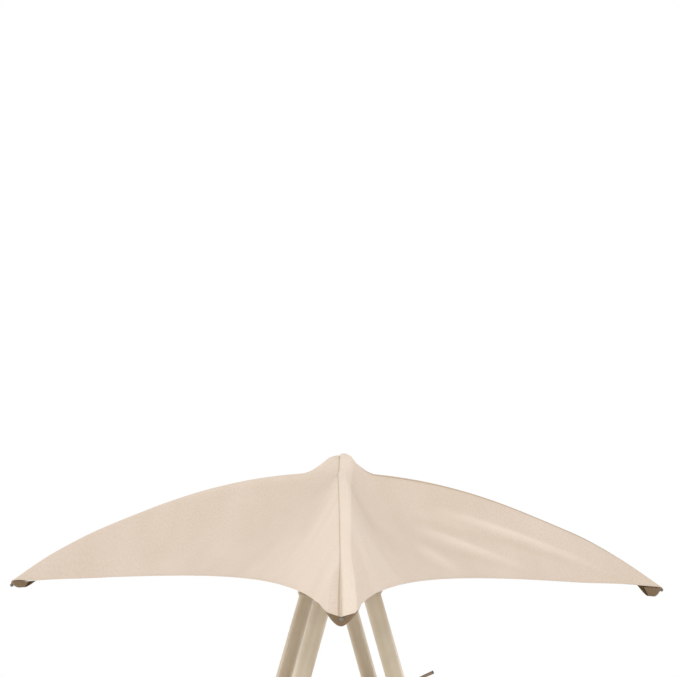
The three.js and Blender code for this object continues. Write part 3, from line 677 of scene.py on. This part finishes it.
def roundedOutline(bm, width, height, corner, steps=5):
    made = bmesh.ops.create_grid(bm, x_segments=1, y_segments=1, size=0.5)["verts"]
    bmesh.ops.scale(bm, vec=(width, height, 1), verts=made)
    bmesh.ops.bevel(bm, geom=made, offset=corner, offset_type="OFFSET", affect="VERTICES", segments=steps,
                    profile=0.5, material=-1)
    bmesh.ops.delete(bm, geom=bm.faces[:], context="FACES_ONLY")
    return bm.edges[:]


def roundOutline(bm, radius, sides):
    bmesh.ops.create_circle(bm, cap_ends=False, segments=sides, radius=radius)
    return bm.edges[:]


def pullThrough(bm, loop, places, closed=False):
    verts = list({vert for edge in loop for vert in edge.verts})
    bmesh.ops.transform(bm, matrix=places[0], verts=verts)
    first = loop
    for before, after in zip(places, places[1:]):
        made = bmesh.ops.extrude_edge_only(bm, edges=loop)["geom"]
        fresh = {item for item in made if isinstance(item, bmesh.types.BMVert)}
        loop = [item for item in made if isinstance(item, bmesh.types.BMEdge) and set(item.verts) <= fresh]
        bmesh.ops.transform(bm, matrix=after @ before.inverted(), verts=list(fresh))
    if closed:
        bmesh.ops.bridge_loops(bm, edges=first + loop)
    else:
        bmesh.ops.edgeloop_fill(bm, edges=first)
        bmesh.ops.edgeloop_fill(bm, edges=loop)
    bmesh.ops.recalc_face_normals(bm, faces=bm.faces)


def turnedSolid(outline, place, sides):
    # outline is a closed row of (radius, height) in millimetres, spun once round its own Z
    bm = bmesh.new()
    verts = [bm.verts.new((radius * mm, 0, height * mm)) for radius, height in outline]
    edges = [bm.edges.new((a, b)) for a, b in zip(verts, verts[1:])]
    bmesh.ops.spin(bm, geom=verts + edges, cent=(0, 0, 0), axis=(0, 0, 1), angle=2 * math.pi, steps=sides,
                   use_merge=True)
    bmesh.ops.remove_doubles(bm, verts=bm.verts, dist=weld["solid"])
    bmesh.ops.recalc_face_normals(bm, faces=bm.faces)
    bmesh.ops.transform(bm, matrix=place, verts=bm.verts)
    return bm


def softenEdges(bm, width, above=40, segments=2):
    sharp = [edge for edge in bm.edges if edge.is_manifold and edge.calc_face_angle() > math.radians(above)]
    bmesh.ops.bevel(bm, geom=sharp, offset=width, affect="EDGES", segments=segments, profile=0.5, material=-1,
                    clamp_overlap=True)


# Castings, mouldings and ribs: the nodes' own shapes, with their edges eased

crownLip = {  # the crown's outer lower corners are drawn up along the legs
    "from": 131 * mm,
    "below": 1197 * mm,
    "lift": 18 * mm,
    "draw": 6 * mm,
}
easedEdges = {  # how far the edges of each kind of piece are eased, in millimetres
    "crown": 2.0, "mast_bracket": 1.6, "mast_foot": 1.6, "mast_tube": 0.6, "cross_beam": 0.6, "canopy_hub": 1.5,
    "hub_cap": 1.0, "swivel_bush": 0.5, "tilt_pin": 0.8, "tilt_knob": 1.6, "leg_boot": 2.0, "rail_collar": 1.5,
    "base_frame": 0.0, "foot_end_support": 0.0, "support_glide": 1.5, "head_crossbar": 0.5, "hinge_tube": 0.6,
    "ratchet": 1.4, "seat_slat": 0.0, "back_slat": 0.0, "canopy_rib": 0.0,
}


def bendRib(bm, arm):
    bmesh.ops.transform(bm, matrix=armPlace(arm).inverted(), verts=bm.verts)
    for vert in bm.verts:
        vert.co.z += ribBulge(arm, vert.co.x)
    bmesh.ops.transform(bm, matrix=armPlace(arm), verts=bm.verts)


def drawUpCrown(bm):
    for vert in bm.verts:
        if vert.co.z < crownLip["below"] and abs(vert.co.x) > crownLip["from"]:
            vert.co += Vector((math.copysign(crownLip["draw"], -vert.co.x), 0, crownLip["lift"]))


def refinedCopy(node, soften):
    # the node's triangles are merged, and its sharp edges eased as a casting's or a moulding's are
    bm = bmesh.new()
    bm.from_mesh(nodes[node].data)
    bmesh.ops.remove_doubles(bm, verts=bm.verts, dist=weld["solid"])
    bmesh.ops.dissolve_limit(bm, angle_limit=math.radians(1), verts=bm.verts, edges=bm.edges)
    if node.startswith("canopy_rib"):
        bendRib(bm, corners.index(node.rsplit("_", 1)[1]))
    if node.startswith("crown"):
        drawUpCrown(bm)
    if soften:
        softenEdges(bm, soften)
    name = "".join(word if at == 0 else word.capitalize() for at, word in enumerate(node.split("_")))
    addPiece(name, meshFrom(bm, name), bodyOfNode[node], slotOfNode[node], [node])


for node in sorted(nodes):
    kind = next((k for k in easedEdges if node.startswith(k)), None)
    if kind:
        refinedCopy(node, easedEdges[kind] * mm)


# Back rails, drawn thin and bent back a little at the head end, and the plugs of the flat tubes

backRail = {
    "spacing": 312 * mm,
    "width": 15 * mm,
    "corner": 5 * mm,
    "end": 1025 * mm,
    "thinHeight": 14 * mm,
    "stations": (  # along, up and height, in millimetres
        (-15, 0, 30), (400, 0, 30), (760, 0, 30), (800, 0.6, 29.5), (840, 4.5, 26), (880, 10.5, 20.5),
        (920, 18, 15.8), (950, 21.5, 14.2), (990, 21, 14), (1025, 19, 14)),
    "plugProud": 1 * mm,
    "plugGap": 0.3 * mm,
    "plugDepth": 6 * mm,
}
basePlug = {
    "spacing": 340 * mm,
    "above": 375 * mm,
    "height": 50 * mm,
    "width": 25 * mm,
    "corner": 8 * mm,
    "start": 560.6 * mm,
    "depth": 5 * mm,
}
plugDome = ((0, 1.0), (0.45, 1.0), (0.72, 0.95), (0.9, 0.84), (1.0, 0.6))  # share of the depth, share of the size


def flatTube(stations, width, corner, place):
    # a row of upright outlines along local X, each as high as its station says
    bm = bmesh.new()
    height = stations[0][2] * mm
    loop = roundedOutline(bm, width, height, corner)
    places = []
    for along, lift, tall in stations:
        scale = Matrix.Diagonal((1, tall * mm / height, 1, 1))
        places.append(placeAt((along * mm, 0, lift * mm), (1, 0, 0), (0, -1, 0)) @ scale)
    pullThrough(bm, loop, places)
    bmesh.ops.transform(bm, matrix=place, verts=bm.verts)
    return bm


def endPlug(height, width, corner, start, depth, place):
    # a moulded plug: a short flange with a slightly domed face
    bm = bmesh.new()
    loop = roundedOutline(bm, width, height, corner)
    places = []
    for along, size in plugDome:
        scale = Matrix.Diagonal((size, size, 1, 1))
        places.append(placeAt((start + along * depth, 0, 0), (1, 0, 0), (0, -1, 0)) @ scale)
    pullThrough(bm, loop, places)
    bmesh.ops.transform(bm, matrix=place, verts=bm.verts)
    return bm


for sideName, across in longSides:
    name = "backRail" + sideName.capitalize()
    place = hingePlace @ Matrix.Translation((0, across * backRail["spacing"], 0))
    bm = flatTube(backRail["stations"], backRail["width"], backRail["corner"], place)
    addPiece(name, meshFrom(bm, name), "backrest", "brown_tube", [f"back_rail_{sideName}"])

    name = "backPlug" + sideName.capitalize()
    height, width = backRail["thinHeight"] + backRail["plugProud"], backRail["width"] + backRail["plugProud"]
    start = backRail["end"] + backRail["plugGap"]
    tipPlace = place @ Matrix.Translation((0, 0, backRail["stations"][-1][1] * mm))
    bm = endPlug(height, width, backRail["corner"], start, backRail["plugDepth"], tipPlace)
    addPiece(name, meshFrom(bm, name), "backrest", "grey_plastic", [f"back_plug_{sideName}"])

    name = "basePlug" + sideName.capitalize()
    place = standPlace @ Matrix.Translation((0, across * basePlug["spacing"], basePlug["above"]))
    bm = endPlug(*(basePlug[key] for key in ("height", "width", "corner", "start", "depth")), place)
    addPiece(name, meshFrom(bm, name), "stand", "grey_plastic")
print("tubes, castings and mouldings are made")


# Corner pockets: a reinforcing cup that is sewn under each corner and takes the rib's end; its dark brown is partly
# the cup's darker cloth and partly painted shade of the corner's underside

pocket = {
    "from": 0.3,
    "share": 0.044,
    "spreadPower": 1.3,
    "hang": (34 * mm, 28 * mm, 16 * mm, 31 * mm),
    "start": 12 * mm,
    "round": 46 * mm,
    "slant": 30 * mm,
    "power": 1.9,
    "inset": 1.5 * mm,
    "fold": 1.2 * mm,
    "foldRate": (8, 4),
    "thickness": 1.8 * mm,
    "rows": 28,
    "columns": 36,
}
ribEnd = {  # a moulded button on the rib's end, its round nose just out of the hem
    "outline": ((0, -9.5), (6.2, -9.5), (6.2, 0), (7.6, 1), (7.6, 5), (6.9, 8.5), (5, 11), (2.6, 12.2), (0, 12.6)),
    "along": (1396 * mm, 1396 * mm, 1396 * mm, 1388 * mm),
    "up": -3 * mm,
    "heading": (0.822, 0, -0.57),
    "sides": 32,
}


def buildPocket(arm, cornerName):
    bm = bmesh.new()
    clothMap = bm.loops.layers.uv.new("clothMap")
    made = bmesh.ops.create_grid(bm, x_segments=pocket["rows"], y_segments=pocket["columns"], size=0.5)["verts"]
    flat = {}
    tip = canopy["reach"] + canopy["overReach"][arm]
    foldIn, foldAcross = pocket["foldRate"]
    for vert in made:
        inward, side = vert.co.x + 0.5, 2 * vert.co.y
        share = between(pocket["from"] * corner["cut"], pocket["share"], inward ** pocket["spreadPower"])
        edge = panelPoint(1.0, share)
        along, aside, up = cornerMove(arm, share, 1.0, int(side < 0))
        half = edge.y + aside - pocket["inset"]
        beside = edge.y * crest["side"][arm] * (1 if side > 0 else -1)
        sleeve = sleeveLift(arm, edge.x, beside, ridgeHeight(edge.x) - edge.z) * sleeveFade(share, 0)
        rim = edge.z + up + sleeve
        back = max(0.0, tip - (edge.x + along) - pocket["start"])
        hang = pocket["hang"][arm] * (1 - (1 - min(back / pocket["round"], 1.0)) ** 2)
        depth = 1 - abs(side) ** pocket["power"]
        fold = pocket["fold"] * math.sin(foldIn * inward + foldAcross * side) * depth * inward
        flat[vert] = (edge.x, side * (half + 2 * hang))
        x = edge.x + along - pocket["inset"] + pocket["slant"] * depth * inward
        z = between(rim, -corner["droop"][arm] - hang, depth) + fold
        vert.co = armPlace(arm) @ Vector((x, side * half, z))
    for vert in made:
        for loop in vert.link_loops:
            loop[clothMap].uv = flat[vert]
    bmesh.ops.remove_doubles(bm, verts=bm.verts, dist=weld["cloth"])
    bmesh.ops.dissolve_degenerate(bm, dist=weld["clothEdge"], edges=bm.edges)
    bmesh.ops.recalc_face_normals(bm, faces=bm.faces)
    if sum(face.normal.z * face.calc_area() for face in bm.faces) > 0:
        bmesh.ops.reverse_faces(bm, faces=bm.faces)
    piece = addPiece(f"cornerCup_{cornerName}", meshFrom(bm, cornerName), "canopy", "canopy_fabric",
                     [f"corner_pocket_{cornerName}"])
    piece.data.materials[0] = pocketClothAndShade
    giveWall(piece, pocket["thickness"])
    return piece


def buildRibEnd(arm, cornerName):
    spot = (ribEnd["along"][arm] + canopy["overReach"][arm], 0, ribEnd["up"] - corner["droop"][arm])
    bm = turnedSolid(ribEnd["outline"], armPlace(arm) @ placeAt(spot, ribEnd["heading"], (0, 1, 0)), ribEnd["sides"])
    name = "ribEnd" + cornerName.capitalize()
    addPiece(name, meshFrom(bm, name), "canopy", "grey_plastic", [f"rib_tip_{cornerName}"])


pockets = [buildPocket(arm, name) for arm, name in enumerate(corners)]
for arm, name in enumerate(corners):
    buildRibEnd(arm, name)
print("corner pockets are made")


# Mattress: two padded sections, swollen by a short cloth run and then sewn across

mattress = {
    "width": 610 * mm,
    "thickness": 58 * mm,
    "foamLess": (8 * mm, 14 * mm, 20 * mm),  # the block is smaller than the pad by this much
    "foamRound": 15 * mm,
    "voxel": 8 * mm,
    "pressure": 4.0,
    "mostSwell": 9 * mm,
    "frames": 20,
    "settle": -4 * mm,
    "billow": 2 * mm,
    "channelDepth": 11 * mm,
    "channelWidth": 13 * mm,
    "underside": 0.35,  # how deep the channels go below, as a share
    "drawIn": 5 * mm,
    "pucker": 1.3 * mm,
    "puckerLength": 21 * mm,
    "puckerPlace": 14 * mm,
    "puckerReach": 16 * mm,
    "rumple": 0.9 * mm,
    "rumpleRate": (14, 11),
    "slatTop": 12.6 * mm,
}
piping = {
    "radius": 3.2 * mm,
    "insetLong": 1.5 * mm,
    "insetWide": 2.5 * mm,
    "corner": 22 * mm,
    "steps": 260,
    "sides": 10,
}


def swollenBlank(length):
    # a flat foam block with eased edges, a little smaller than the finished pad, blown up as its filling would
    bm = bmesh.new()
    bmesh.ops.create_cube(bm, size=1)
    full = (length, mattress["width"], mattress["thickness"])
    bmesh.ops.scale(bm, vec=[size - less for size, less in zip(full, mattress["foamLess"])], verts=bm.verts)
    bmesh.ops.bevel(bm, geom=bm.edges[:], offset=mattress["foamRound"], affect="EDGES", segments=3, profile=0.5,
                    material=-1)
    blank = bpy.data.objects.new("foamBlank", meshFrom(bm, "foamBlank"))
    bpy.context.scene.collection.objects.link(blank)
    remesh = blank.modifiers.new("grain", "REMESH")
    remesh.mode = "VOXEL"
    remesh.voxel_size = mattress["voxel"] * 1
    applied = appliedMesh(blank)
    blank.modifiers.clear()
    blank.data = applied
    swellBlank(blank)
    finer = blank.modifiers.new("finer", "SUBSURF")
    finer.levels = finer.render_levels = 1
    mesh = appliedMesh(blank)
    bpy.data.objects.remove(blank)
    return mesh


def swellBlank(blank):
    rest = [vert.co.copy() for vert in blank.data.vertices]
    swell = blank.modifiers.new("swell", "CLOTH")
    swell.settings.use_pressure = True
    swell.settings.uniform_pressure_force = mattress["pressure"]
    swell.settings.effector_weights.gravity = 0
    scene = bpy.context.scene
    for frameNumber in range(1, mattress["frames"] + 1):
        scene.frame_set(frameNumber)
    swollen = appliedMesh(blank)
    scene.frame_set(1)
    blank.modifiers.clear()
    for vert, start in zip(blank.data.vertices, rest):
        move = swollen.vertices[vert.index].co - start
        if move.length > mattress["mostSwell"]:
            move = move.normalized() * mattress["mostSwell"]
        vert.co = start + move
    bpy.data.meshes.remove(swollen)


def appliedMesh(obj):
    bpy.context.view_layer.update()
    return bpy.data.meshes.new_from_object(obj.evaluated_get(bpy.context.evaluated_depsgraph_get()))


def fallOff(distance, width):
    return math.exp(-((distance / width) ** 2))


def drawnIn(along):
    # the sides pull in at each channel, where along is a whole number
    return mattress["drawIn"] * (0.5 + 0.5 * math.cos(2 * math.pi * along))


def padPoint(unit, x, y, z, length, channels):
    # channels, puckers and draw-in, given to one point of the swollen block
    spacing = length / channels
    along = (x + length / 2) / spacing
    nearest = round(along)
    edgeFade = 1 - clamp01(abs(unit.y)) ** 8
    groove = pucker = 0.0
    if 0 < nearest < channels:
        off = abs(along - nearest) * spacing
        groove = mattress["channelDepth"] * fallOff(off, mattress["channelWidth"]) * edgeFade
        pucker = math.sin(2 * math.pi * y / mattress["puckerLength"] + 1.7 * math.sin(31 * y + nearest))
        pucker *= mattress["pucker"] * fallOff(off - mattress["puckerPlace"], mattress["puckerReach"])
    rateLong, rateWide = mattress["rumpleRate"]
    rumple = mattress["rumple"] * noise.noise(Vector((x * rateLong, y * rateWide, channels)))
    if unit.z > 0:
        billow = mattress["billow"] * (1 - math.cos(2 * math.pi * along))
        z += edgeFade * (pucker + rumple + mattress["settle"] + billow) - groove
    else:
        z = max(z + mattress["underside"] * groove, -mattress["thickness"] / 2)
    return Vector((x, y - math.copysign(drawnIn(along), y) * abs(unit.y) ** 2, z))


def buildPad(name, node, body, place, start, end, height, channels):
    length = end - start
    bm = bmesh.new()
    bm.from_mesh(swollenBlank(length))
    low, high = (Vector([limit(vert.co[i] for vert in bm.verts) for i in range(3)]) for limit in (min, max))
    middle = (low + high) / 2
    goal = Vector((length, mattress["width"], mattress["thickness"]))
    for vert in bm.verts:
        unit = Vector([2 * (vert.co[i] - middle[i]) / (high[i] - low[i]) for i in range(3)])
        x, y, z = (unit[i] * goal[i] / 2 for i in range(3))
        vert.co = padPoint(unit, x, y, z, length, channels)
    clothMap = bm.loops.layers.uv.new("clothMap")
    for face in bm.faces:
        axis = max(range(3), key=lambda i: abs(face.normal[i]))
        for loop in face.loops:
            co = loop.vert.co
            loop[clothMap].uv = ((co.y, co.z), (co.x, co.z), (co.x, co.y))[axis]
    lift = Matrix.Translation(((start + end) / 2, 0, height + mattress["slatTop"] + mattress["thickness"] / 2))
    bmesh.ops.transform(bm, matrix=place @ lift, verts=bm.verts)
    pad = addPiece(name, meshFrom(bm, name), body, "cushion_fabric", [node], 80)
    buildPiping(name + "Piping", body, place @ lift, length, length / channels)


def pipingPoint(run, halfLong, halfWide):
    # the point at this run round the pad, and the way the cord heads there
    radius = piping["corner"]
    straights = (2 * (halfLong - radius), 2 * (halfWide - radius)) * 2
    for quarter, straight in enumerate(straights):
        if run < straight + math.pi / 2 * radius:
            break
        run -= straight + math.pi / 2 * radius
    across = halfWide if quarter % 2 == 0 else halfLong
    turn = max(0.0, (run - straight) / radius)
    local = Vector((-straight / 2 + run, -across, 0))
    if turn > 0:
        local = Vector((straight / 2 + radius * math.sin(turn), -across + radius * (1 - math.cos(turn)), 0))
    spin = Matrix.Rotation(quarter * math.pi / 2, 3, "Z")
    return spin @ local, spin @ Vector((math.cos(turn), math.sin(turn), 0))


def buildPiping(name, body, place, length, spacing):
    # a covered cord sewn round the pad at half its height
    bm = bmesh.new()
    halfLong, halfWide = length / 2 - piping["insetLong"], mattress["width"] / 2 - piping["insetWide"]
    whole = 4 * (halfLong + halfWide - 2 * piping["corner"]) + 2 * math.pi * piping["corner"]
    places = []
    for step in range(piping["steps"]):
        point, heading = pipingPoint(whole * step / piping["steps"], halfLong, halfWide)
        draw = drawnIn((point.x + length / 2) / spacing)
        point.y -= math.copysign(draw, point.y) * (abs(point.y) / halfWide) ** 2
        places.append(placeAt(point, heading, (0, 0, 1)))
    pullThrough(bm, roundOutline(bm, piping["radius"], piping["sides"]), places, closed=True)
    bmesh.ops.transform(bm, matrix=place, verts=bm.verts)
    addPiece(name, meshFrom(bm, name), body, "cushion_fabric").data.materials[0] = pipingCloth


buildPad("seatPad", "seat_cushion", "stand", seatPlace, -1369 * mm, -472 * mm, 400 * mm, 6)
buildPad("backPad", "back_cushion", "backrest", hingePlace, 38 * mm, 855 * mm, 15 * mm, 5)
print("mattress is made")


# Floor, light and camera

studio = {
    "floorReach": 11.0,
    "floorTone": 0xF4F2EE,
    "worldStrength": 1.0,
    "cameraPlace": (-0.5552, -4.7627, 1.1381),
    "cameraYaw": 6.755,
    "cameraPitch": 14.085,
    "lens": 57.14,
    "sensorWidth": 36,
    "clipEnd": 60,
    "lights": (  # name, place, what it looks at, size and watts: soft boxes above, in front and behind at both sides
        ("keyLight", (-0.7, -3.8, 3.8), (0, -0.7, 1.5), (2.0, 1.6), 34),
        ("lowLight", (0.4, -7.5, 0.7), (0, 0, 0.9), (5.0, 1.2), 30),
        ("leftLight", (-5.0, 1.7, 1.0), (0, -0.2, 1.3), (2.0, 1.6), 80),
        ("rightLight", (5.0, 1.7, 1.0), (0, -0.2, 1.3), (2.0, 1.6), 55),
    ),
}


def addLight(name, place, target, size, power):
    data = bpy.data.lights.new(name, "AREA")
    data.shape = "RECTANGLE"
    data.size, data.size_y = size
    data.energy = power
    obj = bpy.data.objects.new(name, data)
    bpy.context.scene.collection.objects.link(obj)
    obj.location = place
    obj.rotation_euler = (Vector(target) - Vector(place)).to_track_quat("-Z", "Y").to_euler()


def layFloor():
    bm = bmesh.new()
    bmesh.ops.create_circle(bm, cap_ends=True, segments=96, radius=studio["floorReach"])
    floor = bpy.data.objects.new("studioFloor", meshFrom(bm, "studioFloor"))
    bpy.context.scene.collection.objects.link(floor)
    material, tree, shader = newMaterial("paleFloor", Roughness=0.9)
    shader.inputs["Base Color"].default_value = srgbColor(studio["floorTone"])
    floor.data.materials.append(material)


def buildStudio():
    layFloor()
    scene = bpy.context.scene
    scene.view_settings.view_transform = "Standard"
    world = bpy.data.worlds.new("paleStudio")
    world.use_nodes = True
    background = world.node_tree.nodes["Background"]
    background.inputs["Color"].default_value = (1, 1, 1, 1)
    background.inputs["Strength"].default_value = studio["worldStrength"]
    scene.world = world
    for light in studio["lights"]:
        addLight(*light)
    camera = bpy.data.objects.new("photoCamera", bpy.data.cameras.new("photoCamera"))
    scene.collection.objects.link(camera)
    camera.location = studio["cameraPlace"]
    camera.rotation_euler = (math.radians(90 + studio["cameraPitch"]), 0, math.radians(-studio["cameraYaw"]))
    camera.data.lens = studio["lens"]
    camera.data.sensor_width = studio["sensorWidth"]
    camera.data.clip_end = studio["clipEnd"]
    scene.camera = camera


buildStudio()
